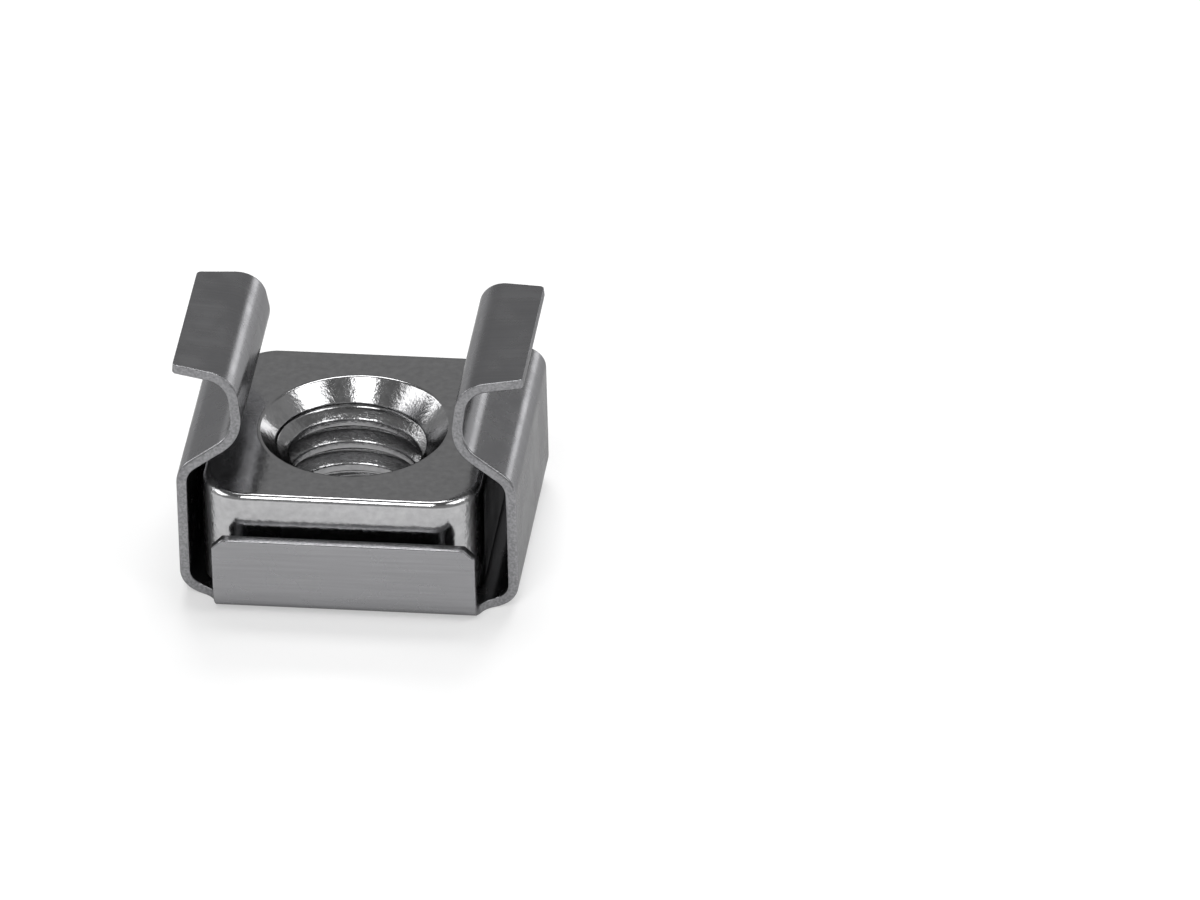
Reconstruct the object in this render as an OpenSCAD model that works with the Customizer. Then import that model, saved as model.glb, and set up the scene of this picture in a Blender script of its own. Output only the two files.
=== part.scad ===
// Rack cage nut: a square nut held loosely in a folded spring cage that snaps into a square
// panel hole.  Millimetres.  The thread's axis is the Z axis, the cage's base plate lies on
// z = 0, and the two ears stand up along +Z, one on each side of X = 0.

/* [Nut] */
// Side of the square nut
nut_w = 10.7; // [10.2:0.1:10.8]
// Height of the nut
nut_h = 4.4; // [4:0.1:4.7]
// Rounding of the nut's four upright corners
nut_corner_r = 2; // [1.4:0.1:2.4]
// Chamfer along the nut's top and bottom edges
nut_edge = 0.25; // [0.15:0.05:0.5]
// Minor diameter of the M6 thread, the bore's wall
thread_minor_d = 5; // [4.9:0.05:5.15]
// Diameter of the countersink where the screw goes in, on the ear side
entry_d = 7.2; // [6.2:0.1:7.8]
// Diameter of the smaller countersink on the plate side
exit_d = 6.6; // [6:0.1:7]
// How far the loose nut has slid along X in the cage
nut_slide = -0.3; // [-0.4:0.05:0.4]

/* [Sheet] */
// Thickness of the spring steel sheet
sheet_t = 0.4; // [0.3:0.05:0.5]
// Outside radius of the bends along the base plate's four sides
corner_r = 1; // [0.8:0.05:1.1]
// Play between the nut and each side wall
side_play = 0.7; // [0.6:0.05:0.9]
// Play between the nut and each end tab
end_play = 0.4; // [0.3:0.05:0.6]
// Diameter of the screw's clearance hole in the base plate
hole_d = 7.1; // [6.6:0.1:7.6]
// Radius of the notch at each corner of the base plate
notch_r = 0.9; // [0.7:0.05:1.1]

/* [Walls and tabs] */
// Length of a side wall
wall_l = 9.5; // [9:0.1:9.7]
// Height at which a side wall starts to bend inward over the nut
wall_h = 4.9; // [4.8:0.05:5.4]
// Width of an end tab
tab_w = 10; // [9.8:0.1:10.4]
// Height of an end tab
tab_h = 3.3; // [2.6:0.1:4]
// Chamfer of an end tab's top corners
tab_chamfer = 0.4; // [0.2:0.05:0.8]

/* [Ears] */
// Outside width across the two ears at their waist, which springs into a 9.5 mm square hole
grip_w = 8.8; // [8.4:0.1:9.2]
// Length of a lip's end edge, down to which the sheet narrows evenly from the top of the wall
lip_l = 6.8; // [6:0.1:8]
// Inside radius of the bend from wall to shoulder
shoulder_r = 0.6; // [0.4:0.05:0.8]
// Turn of the shoulder away from upright
shoulder_deg = 58; // [50:1:70]
// Inside radius of the bend at the waist
waist_r = 1.1; // [0.8:0.05:1.3]
// Outward lean of the upright stretch above the waist
ear_lean = 7; // [2:1:10]
// Length of the upright stretch above the waist
ear_rise = 0.6; // [0.4:0.1:1.2]
// Inside radius of the bend from ear to lip
lip_r = 0.8; // [0.6:0.05:0.9]
// Upward slope of the lip
lip_deg = 4; // [2:1:20]
// Length of the lip's straight end
lip_run = 1.45; // [1.2:0.05:1.8]
// Rounding of the lip's two corners
lip_corner_r = 0.2; // [0.1:0.05:0.5]

/* [Hidden] */
$fn = 96;

cage_w = nut_w + 2 * (side_play + sheet_t);
cage_l = nut_w + 2 * (end_play + sheet_t);
half_t = sheet_t / 2;
bend_step = 7.5;    // most degrees of a bend in one facet
beyond = 20;        // reach of cutting shapes past the part

// ---- The sheet's middle line, as states [across, up, heading, length along the sheet] ----

// The state after a straight run from state s
function run(s, length) =
    [s[0] + length * cos(s[2]), s[1] + length * sin(s[2]), s[2], s[3] + length];

// The states along a bend from state s.  A positive turn bends upward and inward.
function bend(s, turn, r) =
    let (side = sign(turn), count = ceil(abs(turn) / bend_step))
    [for (i = [1:count])
        let (part = turn * i / count, h = s[2] + part)
        [s[0] + side * r * (sin(h) - sin(s[2])), s[1] - side * r * (cos(h) - cos(s[2])), h,
         s[3] + abs(part) * PI / 180 * r]];

function last(states) = states[len(states) - 1];

// A point on the sheet's face, off to the outside of the middle line by d
function face_point(s, d) = [s[0] + d * sin(s[2]), s[1] - d * cos(s[2])];

function mirrored(points) = [for (i = [len(points) - 1:-1:0]) [-points[i][0], points[i][1]]];

// The closed outline of a sheet whose right half follows the states and whose left half mirrors it
function sheet_outline(states) =
    let (outside = [for (s = states) face_point(s, half_t)],
         inside = [for (i = [len(states) - 1:-1:0]) face_point(states[i], -half_t)],
         right = concat(outside, inside))
    concat(right, mirrored(right));

// Half of the plate, then the bend that every wall and tab starts with
function foot(span) =
    let (edge = [span / 2 - corner_r, half_t, 0, 0])
    concat([edge], bend(edge, 90, corner_r - half_t));

// The slope's length follows from the width that the ears must close in to
shoulder_mid_r = shoulder_r + half_t;
waist_mid_r = waist_r + half_t;
slope_run = ((cage_w - grip_w) / 2 - (shoulder_mid_r + waist_mid_r) * (1 - cos(shoulder_deg)))
            / sin(shoulder_deg);

wall_foot = foot(cage_w);
wall_top = run(last(wall_foot), wall_h - corner_r);
shoulder = bend(wall_top, shoulder_deg, shoulder_mid_r);
slope_end = run(last(shoulder), slope_run);
waist = bend(slope_end, -(shoulder_deg + ear_lean), waist_mid_r);
rise_end = run(last(waist), ear_rise);
lip_bend = bend(rise_end, -(90 - ear_lean - lip_deg), lip_r + half_t);
lip = [for (a = [0:15:90]) run(last(lip_bend), lip_run - lip_corner_r * (1 - sin(a)))];
wall_states = concat(wall_foot, [wall_top], shoulder, [slope_end], waist, [rise_end], lip_bend, lip);

// The narrowing stretch gets its sides as seen along X up to the middle of the lip's bend, and
// as seen from above past it
lip_middle = lip_bend[floor(len(lip_bend) / 2)][3];
lower_ear = [for (s = wall_states) if (s[3] >= wall_top[3] && s[3] <= lip_middle) s];
upper_ear = [for (s = wall_states) if (s[3] >= lip_middle) s];

// Half the sheet's width at state s: even up to the top of the wall, then narrowing evenly
// along the sheet to the lip's end edge, where the corners are rounded
function half_width(s) =
    let (narrowed = max(0, s[3] - wall_top[3]) / (last(lip)[3] - wall_top[3]),
         into_corner = max(0, s[3] - last(lip)[3] + lip_corner_r))
    (wall_l - narrowed * (wall_l - lip_l)) / 2
        - lip_corner_r + sqrt(max(0, lip_corner_r ^ 2 - into_corner ^ 2));

tab_foot = foot(cage_l);
tab_states = concat(tab_foot, [run(last(tab_foot), tab_h - corner_r)]);

// ---- Outlines ----

// Points on an arc about [x, y]
function arc(x, y, r, from, to) =
    let (count = ceil(abs(to - from) / bend_step))
    [for (i = [0:count]) let (a = from + (to - from) * i / count) [x + r * cos(a), y + r * sin(a)]];

// A square with rounded corners
function rounded_square(w, r) =
    let (c = w / 2 - r)
    concat(arc(c, c, r, 0, 90), arc(-c, c, r, 90, 180),
           arc(-c, -c, r, 180, 270), arc(c, -c, r, 270, 360));

// A cross, seen from above, that leaves the walls and tabs whole and notches the corners
function notched_cross() =
    let (x = tab_w / 2, y = wall_l / 2,
         corner = concat([[x, beyond]], arc(x + notch_r, y + notch_r, notch_r, 180, 270),
                         [[beyond, y]]),
         upper = concat(mirrored(corner), corner))
    concat(upper, [for (i = [len(upper) - 1:-1:0]) [upper[i][0], -upper[i][1]]]);

// Seen along X: wide beside the walls, then the sides of the lower ear, then straight up
function ear_sides() =
    let (out = wall_l / 2 + corner_r,
         right = concat([[out, -1], [out, wall_h - corner_r]],
                        [for (s = lower_ear) [half_width(s), s[1]]],
                        [[half_width(last(lower_ear)), beyond]]))
    concat(right, mirrored(right));

// Seen from above: what lies beside the upper ear, outside its narrowing side and round corner
function lip_margin() =
    let (edge = [for (s = upper_ear) [s[0], half_width(s)]])
    concat(edge, [[beyond, last(edge)[1]], [beyond, wall_l], [edge[0][0], wall_l]]);

// Seen along Y: an upright block with its two top corners cut off
function tab_sides() =
    let (x = tab_w / 2 + notch_r, cut = tab_w / 2 - tab_chamfer + tab_h,
         right = [[x, -1], [x, cut - x], [0.1, cut - 0.1]])
    concat(right, mirrored(right));

// ---- Solids ----

// Extrudes along Y an outline drawn in X and Z
module along_y(points, length) {
    rotate([90, 0, 0])
        linear_extrude(length, center = true)
            polygon(points);
}

// Extrudes along X an outline drawn in Y and Z
module along_x(points, length) {
    rotate([90, 0, 90])
        linear_extrude(length, center = true)
            polygon(points);
}

// The strip that runs up both walls, over the shoulders and out along both lips
module walls_and_ears() {
    difference() {
        intersection() {
            along_y(sheet_outline(wall_states), cage_l - 2 * corner_r);
            along_x(ear_sides(), 2 * beyond);
        }
        for (x = [0, 1], y = [0, 1])
            mirror([x, 0, 0])
                mirror([0, y, 0])
                    translate([0, 0, rise_end[1]])
                        linear_extrude(beyond)
                            polygon(lip_margin());
    }
}

// The strip that turns up into both end tabs
module end_tabs() {
    intersection() {
        along_x(sheet_outline(tab_states), cage_w - 2 * corner_r);
        along_y(tab_sides(), 2 * beyond);
    }
}

module spring_cage() {
    color("darkgray")
        difference() {
            intersection() {
                union() {
                    walls_and_ears();
                    end_tabs();
                }
                translate([0, 0, -1])
                    linear_extrude(beyond)
                        polygon(notched_cross());
            }
            translate([0, 0, -1])
                cylinder(d = hole_d, h = sheet_t + 2);
        }
}

// The nut's blank: a rounded square prism with chamfered edges, and cones over its corners
module nut_blank() {
    reach = (nut_w / 2 - nut_corner_r) * sqrt(2) + nut_corner_r - nut_edge;
    flat = nut_w / 2 - nut_edge;
    flank = [[flat, 0], [flat + nut_h / 2, nut_h / 2], [flat, nut_h]];
    chamfered = concat(flank, mirrored(flank));
    intersection() {
        linear_extrude(nut_h)
            polygon(rounded_square(nut_w, nut_corner_r));
        along_y(chamfered, 2 * nut_w);
        along_x(chamfered, 2 * nut_w);
        rotate_extrude()
            polygon([[0, 0], [reach, 0], [reach + nut_h / 2, nut_h / 2], [reach, nut_h], [0, nut_h]]);
    }
}

module square_nut() {
    entry_depth = (entry_d - thread_minor_d) / 2;
    exit_depth = (exit_d - thread_minor_d) / 2;
    color("silver")
        translate([nut_slide, 0, sheet_t])
            difference() {
                nut_blank();
                translate([0, 0, -1])
                    cylinder(d = thread_minor_d, h = nut_h + 2);
                translate([0, 0, nut_h - entry_depth])
                    cylinder(d1 = thread_minor_d, d2 = entry_d + 2, h = entry_depth + 1);
                translate([0, 0, -1])
                    cylinder(d1 = exit_d + 2, d2 = thread_minor_d, h = exit_depth + 1);
            }
}

spring_cage();
square_nut();
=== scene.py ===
"""Rack cage nut: a square steel nut held loosely in a folded spring cage.

Sizes are in millimetres and become metres as each mesh is written.  Every surface is worked out
as whole arrays: the cage is a flat blank of sheet steel that one function folds, and the nut is
a ring of points carried round its section, with a real helical thread in the bore.
"""

import bmesh
import bpy
import numpy as np
from mathutils import Matrix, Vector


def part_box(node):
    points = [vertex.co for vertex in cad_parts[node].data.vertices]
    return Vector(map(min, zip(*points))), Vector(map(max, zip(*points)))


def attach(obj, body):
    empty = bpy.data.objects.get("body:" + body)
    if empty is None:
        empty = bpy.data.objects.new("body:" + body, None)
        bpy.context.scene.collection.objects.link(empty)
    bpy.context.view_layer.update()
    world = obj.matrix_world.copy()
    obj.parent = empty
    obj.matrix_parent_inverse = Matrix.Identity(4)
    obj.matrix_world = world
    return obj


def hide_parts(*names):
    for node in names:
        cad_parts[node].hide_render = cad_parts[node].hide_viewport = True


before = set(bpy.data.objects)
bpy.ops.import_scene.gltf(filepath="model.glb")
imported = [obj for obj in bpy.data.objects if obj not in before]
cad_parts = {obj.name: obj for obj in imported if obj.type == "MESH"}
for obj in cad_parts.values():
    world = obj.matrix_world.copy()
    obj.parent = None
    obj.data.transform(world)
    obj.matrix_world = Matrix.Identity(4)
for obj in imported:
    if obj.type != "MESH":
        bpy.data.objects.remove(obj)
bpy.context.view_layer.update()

MM = 0.001
WELD = 1e-7             # metres: points closer than this are one
SLIVER = 1e-8           # metres: edges shorter than this go

# ---- Driving sizes, in millimetres and degrees ----


def node_box(node):
    """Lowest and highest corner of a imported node, in millimetres."""
    low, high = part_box(node)
    return np.array(low) / MM, np.array(high) / MM


nut_low, nut_high = node_box("square_nut")
cage_low, cage_high = node_box("spring_cage")

# The nut and its M6 thread
NUT_W = nut_high[1] - nut_low[1]
NUT_CENTRE_X = (nut_low[0] + nut_high[0]) / 2
NUT_CORNER_R = 1.85
NUT_EDGE_R = 0.26       # rounding of the edges along the sides
NUT_FORGED_R = 0.34     # and round the corners, where the forging filled the die less
NUT_EDGE_MARGIN = 0.08  # flat strip beside them, which keeps their shading off the faces
THREAD_PITCH = 1.0
THREAD_MINOR_R = 2.5
THREAD_MAJOR_R = 3.0
THREAD_ROUNDING = 0.05
THREAD_START = 0.78     # turns: where on the countersink the thread's first turn runs out
FLANK_SLOPE = 1 / np.tan(np.radians(30))
ENTRY_R = 3.6
EXIT_R = 3.3
CONE_ROUNDING = 0.03
BORE_LIP_R = 0.07
BORE_LIP_START = 0.3                # how far off the face the bore's rows stop, in lip radii
BORE_LIP_OUT = (0.45, 1.0, 2.0)     # the lip's rows: how far out from the cone, in lip radii
BORE_LIP_IN = (0.1, 0.0, 0.0)       # and how far in from the face

# The cage's sheet
SHEET_T = nut_low[2]
HALF_T = SHEET_T / 2
CAGE_L = cage_high[1] - cage_low[1]
CAGE_W = 12.9           # over the walls
CORNER_R = 1.0
HOLE_R = 3.55
NOTCH_R = 0.9
WALL_L = 9.5
WALL_H = 4.9            # up to the shoulder
TAB_W = 10.0
TAB_H = 3.3
TAB_CHAMFER = 0.4
GRIP_W = 8.8            # over the waists
SHOULDER_R = 0.6
SHOULDER_TURN = 58
WAIST_R = 1.1
EAR_LEAN = 7
EAR_RISE = 0.6
LIP_R = 0.8
LIP_RISE = 4
LIP_RUN = 1.45
LIP_L = 6.8
LIP_CORNER_R = 0.2

# The cut edges: rounder where the punch went in, on the outer face, than where it came out
ROLLED_EDGE_R = 0.08
BURR_EDGE_R = 0.04
EDGE_BAND = 0.12        # from the flat grids to the cut edge
EDGE_STEPS = 4
ON_FACE = 0.01          # a point this close to a face still counts as on it

# How finely the surfaces are drawn
BEND_STEP = 0.07
FLAT_STEP = 0.3
SHORTEST_RUN = 1e-6
NOTCH_STEPS = 12
LIP_CORNER_STEPS = 6
CHAMFER_STEPS = 3
ACROSS = 41             # odd, so that one point lies on the strip's centre line
RING_ROWS = 9
NOTCH_ROWS = 6
SIDE_STEPS = 60
CORNER_STEPS = 16
BORE_STEP = 0.026
NUT_EDGE_STEPS = 8
NUT_FACE_ROWS = 8
NUT_SIDE_ROWS = 14

CHART_MM = 40.0         # millimetres of the flat blank to one unit of its chart


# ---- Grids and meshes ----


def ramp(value, start, end):
    """0 up to start, 1 from end on, and even in between."""
    return np.clip((value - start) / (end - start), 0, 1)


def spread(start, end, step):
    """Even values from start to end, no further apart than step."""
    return np.linspace(start, end, max(2, int(np.ceil(abs(end - start) / step)) + 1))


def grid_faces(rows, cols, closed=False):
    """Corner numbers of a grid's quads, numbered row by row; closed joins last column to first."""
    numbers = np.arange(rows * cols).reshape(rows, cols)
    if closed:
        numbers = np.concatenate([numbers, numbers[:, :1]], axis=1)
    corners = [numbers[:-1, :-1], numbers[:-1, 1:], numbers[1:, 1:], numbers[1:, :-1]]
    return np.stack([corner.ravel() for corner in corners], axis=1)


def ruled(first, second, count):
    """Grid of points on the straight lines from each point of one curve to its partner on the other."""
    share = np.linspace(0, 1, count)[:, None, None]
    return (1 - share) * first + share * second


def write_mesh(name, points, faces, chart=None, marks=None):
    """Makes a welded, closed mesh object from points in millimetres.

    chart gives each point its UV place, and marks name values that each point carries.
    """
    mesh = bpy.data.meshes.new(name)
    mesh.from_pydata((points * MM).tolist(), [], faces.tolist())
    for mark, values in (marks or {}).items():
        layer = mesh.attributes.new(mark, "FLOAT", "POINT")
        layer.data.foreach_set("value", values.astype(np.float32))
    if chart is not None:
        layer = mesh.uv_layers.new(name="chart")
        corner_points = np.zeros(len(mesh.loops), np.int32)
        mesh.loops.foreach_get("vertex_index", corner_points)
        layer.data.foreach_set("uv", chart[corner_points].astype(np.float32).ravel())
    shape = bmesh.new()
    shape.from_mesh(mesh)
    bmesh.ops.remove_doubles(shape, verts=shape.verts, dist=WELD)
    bmesh.ops.dissolve_degenerate(shape, edges=shape.edges, dist=SLIVER)
    bmesh.ops.recalc_face_normals(shape, faces=shape.faces)
    shape.to_mesh(mesh)
    shape.free()
    mesh.polygons.foreach_set("use_smooth", np.ones(len(mesh.polygons), bool))
    piece = bpy.data.objects.new(name, mesh)
    bpy.context.scene.collection.objects.link(piece)
    return piece


# ---- The spring cage ----


def wall_path():
    """The middle line from the plate's centre up a wall and along an ear, as (length, turn) pairs."""
    shoulder_r = SHOULDER_R + HALF_T
    waist_r = WAIST_R + HALF_T
    lip_r = LIP_R + HALF_T
    turn = np.radians(SHOULDER_TURN)
    closing = (CAGE_W - GRIP_W) / 2 - (shoulder_r + waist_r) * (1 - np.cos(turn))
    waist_turn = np.radians(SHOULDER_TURN + EAR_LEAN)
    lip_turn = np.radians(90 - EAR_LEAN - LIP_RISE)
    return foot(CAGE_W) + [
        (WALL_H - CORNER_R, 0),
        (turn * shoulder_r, turn),
        (closing / np.sin(turn), 0),
        (waist_turn * waist_r, -waist_turn),
        (EAR_RISE, 0),
        (lip_turn * lip_r, -lip_turn),
        (LIP_RUN, 0),
    ]


def tab_path():
    """The middle line from the plate's centre up an end tab."""
    return foot(CAGE_L) + [(TAB_H - CORNER_R, 0)]


def foot(span):
    """Half of the plate and the quarter bend at its side."""
    mid_r = CORNER_R - HALF_T
    return [(span / 2 - CORNER_R, 0), (np.pi / 2 * mid_r, np.pi / 2)]


def path_length(path):
    """The whole length of a middle line."""
    return sum(length for length, _ in path)


def along(path, s):
    """Across, up and heading at length s of a middle line.

    A straight run moves the point by its length times the cosine and sine of the heading.  A bend
    turns the heading evenly, and moves the point by the radius times the change in the heading's
    sine across, and in its cosine, taken the other way, up.
    """
    across = np.zeros_like(s)
    up = np.full_like(s, HALF_T)
    heading = np.zeros_like(s)
    start = 0
    begun = 0
    for length, turn in path:
        part = np.clip(s - start, 0, length)
        if turn == 0:
            across += part * np.cos(begun)
            up += part * np.sin(begun)
        else:
            turned = begun + turn * part / length
            across += length / turn * (np.sin(turned) - np.sin(begun))
            up += length / turn * (np.cos(begun) - np.cos(turned))
            heading += turned - begun
        start += length
        begun += turn
    return across, up, heading


def fold(flat, off):
    """Folds points of the flat blank, lying off its middle surface by `off` towards the outer face.

    The distance from the blank's centre line becomes a length along the wall's middle line, and
    the other distance a length along the tab's; only one of the two is ever in a bend.
    """
    x, x_up, x_heading = along(WALL_PATH, np.abs(flat[:, 0]))
    y, y_up, y_heading = along(TAB_PATH, np.abs(flat[:, 1]))
    return np.stack([
        np.sign(flat[:, 0]) * (x + off * np.sin(x_heading)),
        np.sign(flat[:, 1]) * (y + off * np.sin(y_heading)),
        x_up + y_up - HALF_T - off * np.cos(x_heading) * np.cos(y_heading),
    ], axis=1)


def stations(path, start, end):
    """Lengths at which a path is drawn: close together in its bends, wider apart on its flats."""
    ends = np.cumsum([0] + [length for length, _ in path])
    firsts, lasts = np.maximum(ends[:-1], start), np.minimum(ends[1:], end)
    steps = [BEND_STEP if turn else FLAT_STEP for _, turn in path]
    runs = [spread(a, b, step) for a, b, step in zip(firsts, lasts, steps) if b - a > SHORTEST_RUN]
    return np.unique(np.round(np.concatenate(runs), 7))


def wall_half_width(s):
    """Half the strip's width at length s: even up to the wall's top, then narrowing to the lip."""
    wall_top = path_length(foot(CAGE_W)) + WALL_H - CORNER_R
    return np.interp(s, [wall_top, path_length(WALL_PATH)], [WALL_L / 2, LIP_L / 2])


def arc(x, y, radius, start, end, steps):
    """Points along an arc about (x, y)."""
    angle = np.radians(np.linspace(start, end, steps + 1))
    return np.stack([x + radius * np.cos(angle), y + radius * np.sin(angle)], axis=1)


def wall_side(inset):
    """One side of the strip of a wall and its ear, from the plate's corner to the lip's end."""
    end = path_length(WALL_PATH)
    notch_end = TAB_W / 2 + NOTCH_R
    by_notch = np.linspace(TAB_W / 2 - inset, notch_end, NOTCH_STEPS + 1)
    beyond = stations(WALL_PATH, notch_end, end - LIP_CORNER_R)
    s = np.concatenate([by_notch, beyond[1:]])
    straight = np.stack([s, wall_half_width(s) - inset], axis=1)
    centre = straight[-1] + [0, inset - LIP_CORNER_R]
    corner = arc(centre[0], centre[1], LIP_CORNER_R - inset, 90, 0, LIP_CORNER_STEPS)
    return np.concatenate([straight, corner[1:]])


def tab_side(inset):
    """One side of an end tab, from the plate's corner up to its end edge, with the chamfered corner."""
    end = path_length(TAB_PATH)
    notch_end = WALL_L / 2 + NOTCH_R
    mitre = inset * (np.sqrt(2) - 1)
    by_notch = np.linspace(WALL_L / 2 - inset, notch_end, NOTCH_STEPS + 1)
    beyond = stations(TAB_PATH, notch_end, end - TAB_CHAMFER - mitre)
    s = np.concatenate([by_notch, beyond[1:]])
    straight = np.stack([np.full_like(s, TAB_W / 2 - inset), s], axis=1)
    share = np.linspace(0, 1, CHAMFER_STEPS + 1)[1:, None]
    corner = np.array([TAB_W / 2 - TAB_CHAMFER - mitre, end - inset])
    return np.concatenate([straight, (1 - share) * straight[-1] + share * corner])


def flat_patches(inset):
    """Grids that fill the flat blank up to a band of width `inset` from its cut edges.

    Two strips for the walls, two for the tabs, a ring from the screw hole to the rectangle
    between them, and at each corner a patch between that rectangle's corner and the notch.
    """
    wall = wall_side(inset)
    tab = tab_side(inset)
    wall_strip = ruled(wall * [1, -1], wall, ACROSS)
    tab_strip = ruled(tab * [-1, 1], tab, ACROSS)
    right = wall_strip[:, 0]
    top = tab_strip[::-1, 0]
    rectangle = np.concatenate([right[:-1], top[:-1], -right[:-1], -top[:-1]])
    angle = np.arctan2(rectangle[:, 1], rectangle[:, 0])
    hole = (HOLE_R + inset) * np.stack([np.cos(angle), np.sin(angle)], axis=1)
    ring = ruled(hole, rectangle, RING_ROWS)
    legs = np.concatenate([wall[NOTCH_STEPS::-1], tab[1:NOTCH_STEPS + 1]])
    corner = ruled(legs, notch_curve(inset), NOTCH_ROWS)
    corners = [corner * sign for sign in ([1, 1], [-1, 1], [-1, -1], [1, -1])]
    open_grids = [wall_strip, -wall_strip, tab_strip, -tab_strip] + corners
    return [(grid, False) for grid in open_grids] + [(ring, True)], hole


def notch_curve(inset):
    """The concave quarter circle between a wall's side and a tab's side."""
    across, up = TAB_W / 2 + NOTCH_R, WALL_L / 2 + NOTCH_R
    return arc(across, up, NOTCH_R + inset, 270, 180, 2 * NOTCH_STEPS)


def outer_loop(inset):
    """The blank's outline, once round against the clock, inset from the cut edge."""
    wall = wall_side(inset)
    tab = tab_side(inset)
    to_edge = np.linspace(0, 1, ACROSS // 2 + 1)
    whole = np.ones_like(to_edge)
    wall_end = wall[-1] * np.stack([whole, to_edge], axis=1)
    tab_end = tab[-1] * np.stack([to_edge[::-1], whole], axis=1)
    quarter = np.concatenate([
        wall_end[:-1],
        wall[:NOTCH_STEPS:-1],
        notch_curve(inset),
        tab[NOTCH_STEPS + 1:],
        tab_end[1:],
    ])
    half = np.concatenate([quarter, (quarter * [-1, 1])[-2::-1]])
    return np.concatenate([half[:-1], -half[:-1]])


def edge_normals(loop):
    """Mitred normals of a closed loop, pointing to the right of its travel, which is off the sheet."""
    ahead = np.roll(loop, -1, axis=0) - loop
    ahead /= np.linalg.norm(ahead, axis=1, keepdims=True)
    normal = np.stack([ahead[:, 1], -ahead[:, 0]], axis=1)
    before = np.roll(normal, 1, axis=0)
    facing = np.sum(normal * before, axis=1, keepdims=True)
    return (normal + before) / (1 + facing)


def edge_section():
    """The cut edge's section, outer face to inner: distance outwards, and distance off the middle."""
    angle = np.linspace(0, np.pi / 2, EDGE_STEPS + 1)
    back = 1 - np.sin(angle)
    drop = 1 - np.cos(angle)
    rolled = EDGE_BAND - ROLLED_EDGE_R * back, HALF_T - ROLLED_EDGE_R * drop
    burr = EDGE_BAND - BURR_EDGE_R * back, -HALF_T + BURR_EDGE_R * drop
    outwards = np.concatenate([[0], rolled[0], burr[0][::-1], [0]])
    off = np.concatenate([[HALF_T], rolled[1], burr[1][::-1], [-HALF_T]])
    return outwards, off


def spring_cage():
    """The folded sheet: both faces of the flat blank and the rounded edge all round it, folded.

    Points of the cut edges carry the mark "sheared".
    """
    patches, hole = flat_patches(EDGE_BAND)
    flats = []
    offs = []
    sheared = []
    faces = []
    count = 0
    for off in (HALF_T, -HALF_T):
        for grid, closed in patches:
            rows, cols = grid.shape[:2]
            flats.append(grid.reshape(-1, 2))
            offs.append(np.full(rows * cols, off))
            sheared.append(np.zeros(rows * cols))
            faces.append(grid_faces(rows, cols, closed) + count)
            count += rows * cols
    outwards, off = edge_section()
    for loop in (outer_loop(EDGE_BAND), hole[::-1]):
        flats.append((loop + outwards[:, None, None] * edge_normals(loop)).reshape(-1, 2))
        offs.append(np.repeat(off, len(loop)))
        sheared.append(np.repeat(np.abs(off) < HALF_T - ON_FACE, len(loop)))
        faces.append(grid_faces(len(off), len(loop), True) + count)
        count += len(off) * len(loop)
    flat = np.concatenate(flats)
    points = fold(flat, np.concatenate(offs))
    return write_mesh("folded_cage", points, np.concatenate(faces), flat / CHART_MM,
                      {"sheared": np.concatenate(sheared)})


WALL_PATH = wall_path()
TAB_PATH = tab_path()


# ---- The square nut ----

# The mark "rough" of the nut's surfaces, from 0, smooth, to 1
ROUGH_CONE = 0.1
ROUGH_THREAD = 0.35

# Where a corner starts and where it is full: the smaller and then the X part of the ring's normal
TURNED = (0.16, 0.56)
TO_WALL = (0.55, 0.8)


def nut_ring():
    """Points round the nut's square outline with their normals, evenly along sides and corner arcs."""
    centre = NUT_W / 2 - NUT_CORNER_R
    side = np.stack([
        np.full(SIDE_STEPS, NUT_W / 2),
        np.linspace(-centre, centre, SIDE_STEPS, endpoint=False),
    ], axis=1)
    corner = arc(centre, centre, NUT_CORNER_R, 0, 90, CORNER_STEPS)[:-1]
    quarter = np.concatenate([side, corner])
    side_normal = np.tile([1.0, 0.0], (SIDE_STEPS, 1))
    quarter_normal = np.concatenate([side_normal, (corner - centre) / NUT_CORNER_R])
    turns = [np.array([[1, 0], [0, 1]]), np.array([[0, 1], [-1, 0]])]
    turns += [-turn for turn in turns]
    ring = np.concatenate([quarter @ turn for turn in turns])
    normal = np.concatenate([quarter_normal @ turn for turn in turns])
    return ring, normal


def soft_max(a, b, blend):
    """The larger of two values, with the corner where they cross rounded over about `blend`."""
    return (a + b + np.sqrt((a - b) ** 2 + blend ** 2)) / 2


def bore_radius(angle, z, low, high):
    """The bore's radius: the M6 thread's where it stands clear of the two countersinks' cones.

    The thread's phase is the height over the pitch less the angle over a turn, which makes it
    right-handed.  Its root is flat for an eighth of the pitch, and from there a 60 degree
    thread's flank closes in by the cotangent of 30 degrees times the distance, between the major
    and the minor radius.
    """
    phase = (z - low) / THREAD_PITCH - angle / (2 * np.pi) + THREAD_START
    from_root = np.abs(phase - np.round(phase)) * THREAD_PITCH
    flank = THREAD_MAJOR_R + FLANK_SLOPE * (THREAD_PITCH / 16 - from_root)
    thread = -soft_max(-flank, -THREAD_MAJOR_R, THREAD_ROUNDING)
    thread = soft_max(thread, THREAD_MINOR_R, THREAD_ROUNDING)
    cones = np.maximum(ENTRY_R - (high - z), EXIT_R - (z - low))
    return soft_max(thread, cones, CONE_ROUNDING)


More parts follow.
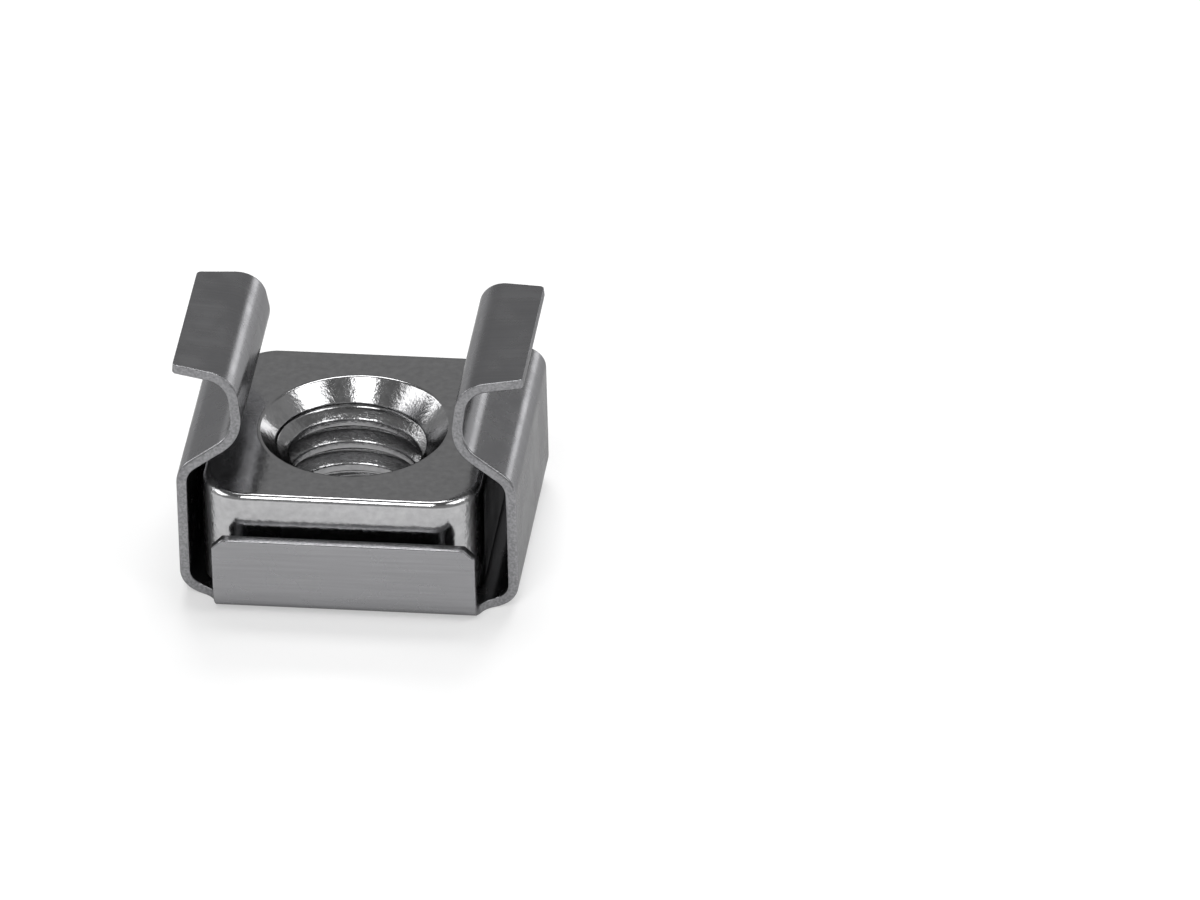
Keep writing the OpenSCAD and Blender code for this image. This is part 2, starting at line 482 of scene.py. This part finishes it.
def square_nut():
    """The nut's closed skin: up the bore, out over the top, down the sides and in underneath.

    turned is 0 along the sides and 1 in a corner, where the edges are rounder.  The mark "rough"
    is on the half of each corner that faces a wall and, more lightly, on the thread and the cone.
    """
    ring, normal = nut_ring()
    angle = np.arctan2(ring[:, 1], ring[:, 0])
    spoke = np.stack([np.cos(angle), np.sin(angle)], axis=1)
    low, high = nut_low[2], nut_high[2]

    def circle(radius, z):
        flat = radius[..., None] * spoke
        return np.concatenate([flat, z[..., None]], axis=2)

    def outline(inset, z):
        flat = ring - inset[:, :, None] * normal
        return np.concatenate([flat, z[:, :, None]], axis=2)

    def filled(first, second, count):
        return ruled(first, second, count)[1:-1]

    bore_end = BORE_LIP_R * BORE_LIP_START
    z = spread(low + bore_end, high - bore_end, BORE_STEP)[:, None] + 0 * angle
    bore = circle(bore_radius(angle[None, :], z, low, high), z)
    lip = np.array(BORE_LIP_OUT)[:, None] * BORE_LIP_R + 0 * angle
    lip_drop = np.array(BORE_LIP_IN)[:, None] * BORE_LIP_R + 0 * angle
    top_lip = circle(ENTRY_R + lip, high - lip_drop)
    bottom_lip = circle(EXIT_R + lip, low + lip_drop)
    turned = ramp(np.abs(normal).min(axis=1), *TURNED)
    edge_r = NUT_EDGE_R + (NUT_FORGED_R - NUT_EDGE_R) * turned
    quarter = np.linspace(0, np.pi / 2, NUT_EDGE_STEPS + 1)[:, None]
    inset = edge_r * (1 - np.sin(quarter))
    drop = edge_r * (1 - np.cos(quarter))
    band = edge_r[None, :] + NUT_EDGE_MARGIN
    top_band = outline(band, np.full_like(band, high))
    bottom_band = outline(band, np.full_like(band, low))
    top_edge = outline(inset, high - drop)
    bottom_edge = outline(inset, low + drop)[::-1]
    top = filled(top_lip[-1], top_band[0], NUT_FACE_ROWS)
    upright = filled(top_edge[-1], bottom_edge[0], NUT_SIDE_ROWS)
    bottom = filled(bottom_band[0], bottom_lip[-1], NUT_FACE_ROWS)
    inside = np.concatenate([bore, top_lip, top, top_band])
    sides = np.concatenate([top_edge, upright, bottom_edge])
    under = np.concatenate([bottom_band, bottom, bottom_lip[::-1], bore[:1]])
    rows = np.concatenate([inside, sides, under])
    on_sides = np.repeat([0, 1, 0], [len(inside), len(sides), len(under)])
    in_bore = np.zeros(len(rows))
    cone_low = high - (ENTRY_R - THREAD_MINOR_R)
    in_bore[:len(bore)] = np.where(z[:, 0] > cone_low, ROUGH_CONE, ROUGH_THREAD)
    to_wall = ramp(np.abs(normal[:, 0]), *TO_WALL) * turned
    rough = np.maximum(on_sides[:, None] * to_wall, in_bore[:, None])
    faces = grid_faces(rows.shape[0], rows.shape[1], True)
    return write_mesh("threaded_nut", rows.reshape(-1, 3) + [NUT_CENTRE_X, 0, 0], faces,
                      marks={"rough": rough.ravel()})


# ---- Materials ----


def linear(hex_colour):
    """A hex sRGB colour as linear red, green, blue and alpha."""
    value = np.array([int(hex_colour[i:i + 2], 16) for i in (1, 3, 5)]) / 255
    value = np.where(value <= 0.04045, value / 12.92, ((value + 0.055) / 1.055) ** 2.4)
    return (*value.tolist(), 1.0)


def node(tree, kind, links=None, **settings):
    """Adds a node; settings name its properties or its inputs, and links its inputs' sources."""
    made = tree.nodes.new(kind)
    for name, value in settings.items():
        if hasattr(made, name):
            setattr(made, name, value)
        else:
            made.inputs[name.replace("_", " ")].default_value = value
    for name, source in (links or {}).items():
        tree.links.new(source, made.inputs[name])
    return made


def new_material(name):
    """An empty node material with its output node."""
    material = bpy.data.materials.new(name)
    material.use_nodes = True
    material.node_tree.nodes.clear()
    return material, material.node_tree


def levels(tree, source, low, high, to_low, to_high):
    """Stretches a texture's values from low..high to to_low..to_high, clamped."""
    return node(tree, "ShaderNodeMapRange", {"Value": source}, From_Min=low, From_Max=high,
                To_Min=to_low, To_Max=to_high).outputs["Result"]


def toward(tree, share, value, end):
    """A node's value where share is 0, changing evenly to `end` where share is 1."""
    return node(tree, "ShaderNodeMapRange", {"Value": share, "To Min": value},
                To_Max=end).outputs["Result"]


def blend(tree, share, first, second):
    """Mixes two colours, each a hex colour or another node's output."""
    mixed = node(tree, "ShaderNodeMix", {"Factor": share}, data_type="RGBA")
    for name, colour in (("A", first), ("B", second)):
        if isinstance(colour, str):
            mixed.inputs[name].default_value = linear(colour)
        else:
            tree.links.new(colour, mixed.inputs[name])
    return mixed.outputs["Result"]


def per_metre(size_mm):
    """Scale of a texture on Object coordinates whose features are this many millimetres."""
    return 1 / (size_mm * MM)


def per_chart(size_mm):
    """Scale of a texture on the flat blank's chart whose features are this many millimetres."""
    return CHART_MM / size_mm


def zinc_plated_spring_steel():
    """Cold-rolled spring steel, zinc plated.

    To the eye: a satin grey with faint rolling streaks along the strip and a slow unevenness that
    softens what it mirrors.  The cut edges are grainier and darker.  A tint below white keeps
    walls and bends from flaring where they are seen almost along the surface.
    """
    material, tree = new_material("zinc_plated_spring_steel")
    chart = node(tree, "ShaderNodeUVMap", uv_map="chart").outputs["UV"]
    place = node(tree, "ShaderNodeTexCoord").outputs["Object"]
    stretched = node(tree, "ShaderNodeMapping", {"Vector": chart}, Scale=(0.03, 1.0, 1.0))
    streaks = node(tree, "ShaderNodeTexNoise", {"Vector": stretched.outputs["Vector"]},
                   Scale=per_chart(0.12), Detail=4.0)
    mottle = node(tree, "ShaderNodeTexNoise", {"Vector": place}, Scale=per_metre(1.2), Detail=3.0)
    grit = node(tree, "ShaderNodeTexNoise", {"Vector": place}, Scale=per_metre(0.09), Detail=2.0)
    waves = node(tree, "ShaderNodeTexNoise", {"Vector": place}, Scale=per_metre(4.0), Detail=1.0)
    tone = levels(tree, streaks.outputs["Fac"], 0.3, 0.7, 0.0, 1.0)
    colour = blend(tree, tone, "#8e8e90", "#969698")
    rough = levels(tree, mottle.outputs["Fac"], 0.35, 0.65, 0.22, 0.3)
    sheared = node(tree, "ShaderNodeAttribute", attribute_name="sheared").outputs["Fac"]
    marks = levels(tree, grit.outputs["Fac"], 0.35, 0.65, 0.0, 1.0)
    colour = blend(tree, sheared, colour, blend(tree, marks, "#7a7a7c", "#949496"))
    rough = toward(tree, sheared, rough, 0.3)
    wave_bump = node(tree, "ShaderNodeBump", {"Height": waves.outputs["Fac"]},
                     Strength=1.0, Distance=0.03 * MM)
    streak_bump = node(tree, "ShaderNodeBump", {
        "Height": streaks.outputs["Fac"],
        "Normal": wave_bump.outputs["Normal"],
    }, Strength=0.12, Distance=0.008 * MM)
    grit_bump = node(tree, "ShaderNodeBump", {
        "Height": grit.outputs["Fac"],
        "Strength": levels(tree, sheared, 0.0, 1.0, 0.12, 0.6),
        "Normal": streak_bump.outputs["Normal"],
    }, Distance=0.012 * MM)
    metal = node(tree, "ShaderNodeBsdfPrincipled", {
        "Base Color": colour,
        "Roughness": rough,
        "Normal": grit_bump.outputs["Normal"],
    }, Metallic=1.0, Specular_Tint=linear("#b2b2b2"))
    node(tree, "ShaderNodeOutputMaterial", {"Surface": metal.outputs["BSDF"]})
    return material


def nickel_plated_nut_steel():
    """Cold-forged steel, nickel plated.

    To the eye: brighter and smoother than the cage, so that the cone shows the softboxes as
    separate patches.  Slow waves bend those patches, forging leaves a fine orange-peel grain, and
    pits roughen the thread and the corners where they face the walls.
    """
    material, tree = new_material("nickel_plated_nut_steel")
    place = node(tree, "ShaderNodeTexCoord").outputs["Object"]
    grain = node(tree, "ShaderNodeTexNoise", {"Vector": place}, Scale=per_metre(0.3), Detail=4.0)
    pits = node(tree, "ShaderNodeTexNoise", {"Vector": place}, Scale=per_metre(0.14), Detail=3.0)
    tone = levels(tree, grain.outputs["Fac"], 0.3, 0.7, 0.0, 1.0)
    colour = blend(tree, tone, "#a6a6a7", "#b4b4b5")
    rough = levels(tree, pits.outputs["Fac"], 0.3, 0.7, 0.09, 0.17)
    forged = node(tree, "ShaderNodeAttribute", attribute_name="rough").outputs["Fac"]
    rough = toward(tree, forged, rough, 0.34)
    pitted = levels(tree, forged, 0.0, 0.4, 0.15, 1.0)
    waves = node(tree, "ShaderNodeTexNoise", {"Vector": place}, Scale=per_metre(2.5), Detail=1.0)
    wave_bump = node(tree, "ShaderNodeBump", {"Height": waves.outputs["Fac"]},
                     Strength=1.0, Distance=0.05 * MM)
    grain_bump = node(tree, "ShaderNodeBump", {
        "Height": grain.outputs["Fac"],
        "Normal": wave_bump.outputs["Normal"],
    }, Strength=0.3, Distance=0.015 * MM)
    pit_bump = node(tree, "ShaderNodeBump", {
        "Height": pits.outputs["Fac"],
        "Strength": pitted,
        "Normal": grain_bump.outputs["Normal"],
    }, Distance=0.02 * MM)
    metal = node(tree, "ShaderNodeBsdfPrincipled", {
        "Base Color": colour,
        "Roughness": rough,
        "Normal": pit_bump.outputs["Normal"],
    }, Metallic=1.0, Specular_Tint=linear("#909090"))
    node(tree, "ShaderNodeOutputMaterial", {"Surface": metal.outputs["BSDF"]})
    return material


# ---- Studio ----

# The camera: degrees, then millimetres
CAMERA_AZIMUTH = 7.609
CAMERA_ELEVATION = 31.888
CAMERA_ROLL = -1.508
CAMERA_DISTANCE = 627.2
CAMERA_LENS = 495.0
AIM_RIGHT = 8.892
AIM_UP = 3.167

FLOOR_HALF = 0.25       # metres
FLOOR_DROP = 0.01       # millimetres below the part, so that the two faces don't coincide

# The room's shade by how steeply up it is seen, from level, 0, to straight up, 1
ROOM_SHADES = ((0.0, 0.85), (0.15, 0.38), (0.3, 0.33), (0.6, 0.32), (0.75, 0.16), (1.0, 0.15))

# Name, azimuth, elevation, width and height in metres, radiance, shows in metal, falls on floor.
# The first three make the cone's wide patches.  The low back light brightens the open floor, and
# where the part keeps it off is the wide pale shadow in front.  The rim light makes the narrow
# streaks down the ears and the right shoulder, the light strip of the nut beside the left ear,
# and one spot on the cone.
LIGHT_DISTANCE = 0.9    # metres
LIGHTS = (
    ("front_softbox", -10, 56, 0.26, 0.42, 7.5, True, True),
    ("left_softbox", -90, 34, 0.8, 0.36, 3.0, True, False),
    ("right_softbox", 76, 48, 0.4, 0.4, 4.0, True, True),
    ("back_softbox", 180, 68, 0.6, 0.25, 6.0, True, True),
    ("low_back_light", 180, 42, 0.5, 0.2, 14.0, False, True),
    ("rim_light", 148, 8, 0.2, 0.22, 2.2, True, False),
)


def add_camera():
    """A long lens from the front, a little to the right and above.

    It aims to the right of the part and above it, so the part is left of the middle and below it.
    """
    azimuth, elevation, roll = np.radians([CAMERA_AZIMUTH, CAMERA_ELEVATION, CAMERA_ROLL])
    ahead = np.array([
        -np.sin(azimuth) * np.cos(elevation),
        np.cos(azimuth) * np.cos(elevation),
        -np.sin(elevation),
    ])
    level = np.array([np.cos(azimuth), np.sin(azimuth), 0])
    upright = np.cross(level, ahead)
    right = np.cos(roll) * level + np.sin(roll) * upright
    up = np.cos(roll) * upright - np.sin(roll) * level
    place = AIM_RIGHT * right + AIM_UP * up - CAMERA_DISTANCE * ahead
    data = bpy.data.cameras.new("camera")
    data.lens = CAMERA_LENS
    data.sensor_width = 36
    data.clip_start = 0.01
    data.clip_end = 20
    camera = bpy.data.objects.new("camera", data)
    axes = np.eye(4)
    axes[:3, :3] = np.stack([right, up, -ahead], axis=1)
    axes[:3, 3] = place * MM
    camera.matrix_world = Matrix(axes.tolist())
    bpy.context.scene.collection.objects.link(camera)
    bpy.context.scene.camera = camera


def add_floor():
    """A plain white light table, just under the part; its own glow keeps the shadows pale."""
    signs = ((-1, -1), (1, -1), (1, 1), (-1, 1))
    mesh = bpy.data.meshes.new("floor")
    mesh.from_pydata([(x * FLOOR_HALF, y * FLOOR_HALF, 0) for x, y in signs], [], [(0, 1, 2, 3)])
    floor = bpy.data.objects.new("floor", mesh)
    floor.location.z = -FLOOR_DROP * MM
    bpy.context.scene.collection.objects.link(floor)
    material, tree = new_material("white_floor")
    paint = node(tree, "ShaderNodeBsdfPrincipled", Roughness=0.9, Base_Color=linear("#bcbcbc"),
                 Emission_Color=linear("#ffffff"), Emission_Strength=0.43)
    node(tree, "ShaderNodeOutputMaterial", {"Surface": paint.outputs["BSDF"]})
    mesh.materials.append(material)


def add_light(name, azimuth, elevation, width, height, radiance, in_metal, on_floor):
    """A flat light that faces the part from a direction; radiance is how bright its face looks.

    Its power is the radiance times pi times its area.  Bare metal only mirrors, and the floor only
    scatters, so a light can be kept to either one.
    """
    data = bpy.data.lights.new(name, "AREA")
    data.shape = "RECTANGLE"
    data.size = width
    data.size_y = height
    data.energy = radiance * np.pi * width * height
    light = bpy.data.objects.new(name, data)
    turn, rise = np.radians([azimuth, elevation])
    back = np.array([np.sin(turn) * np.cos(rise), -np.cos(turn) * np.cos(rise), np.sin(rise)])
    side = np.array([np.cos(turn), np.sin(turn), 0])
    axes = np.eye(4)
    axes[:3, :3] = np.stack([side, np.cross(back, side), back], axis=1)
    axes[:3, 3] = back * LIGHT_DISTANCE
    light.matrix_world = Matrix(axes.tolist())
    light.visible_glossy = in_metal
    light.visible_diffuse = on_floor
    bpy.context.scene.collection.objects.link(light)


def add_studio():
    """Soft lights above and beside the part, in a room that is pale low down and darker higher up."""
    world = bpy.data.worlds.new("studio")
    bpy.context.scene.world = world
    world.use_nodes = True
    tree = world.node_tree
    tree.nodes.clear()
    direction = node(tree, "ShaderNodeTexCoord").outputs["Generated"]
    height = node(tree, "ShaderNodeSeparateXYZ", {"Vector": direction}).outputs["Z"]
    room = node(tree, "ShaderNodeValToRGB", {"Fac": height})
    stops = room.color_ramp.elements
    for stop, (position, shade) in zip(stops, (ROOM_SHADES[0], ROOM_SHADES[-1])):
        stop.position = position
        stop.color = (shade, shade, shade, 1.0)
    for position, shade in ROOM_SHADES[1:-1]:
        stops.new(position).color = (shade, shade, shade, 1.0)
    sky = node(tree, "ShaderNodeBackground", {"Color": room.outputs["Color"]}, Strength=1.1)
    node(tree, "ShaderNodeOutputWorld", {"Surface": sky.outputs["Background"]})
    for light in LIGHTS:
        add_light(*light)
    bpy.context.scene.view_settings.view_transform = "Standard"


# ---- Assembly ----


def dress(piece, material, cad_node):
    """Gives a piece its finish, seats it on the part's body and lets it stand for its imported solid."""
    piece.data.materials.append(material)
    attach(piece, "root")
    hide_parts(cad_node)


add_camera()
add_floor()
add_studio()
dress(spring_cage(), zinc_plated_spring_steel(), "spring_cage")
dress(square_nut(), nickel_plated_nut_steel(), "square_nut")

bpy.context.view_layer.update()
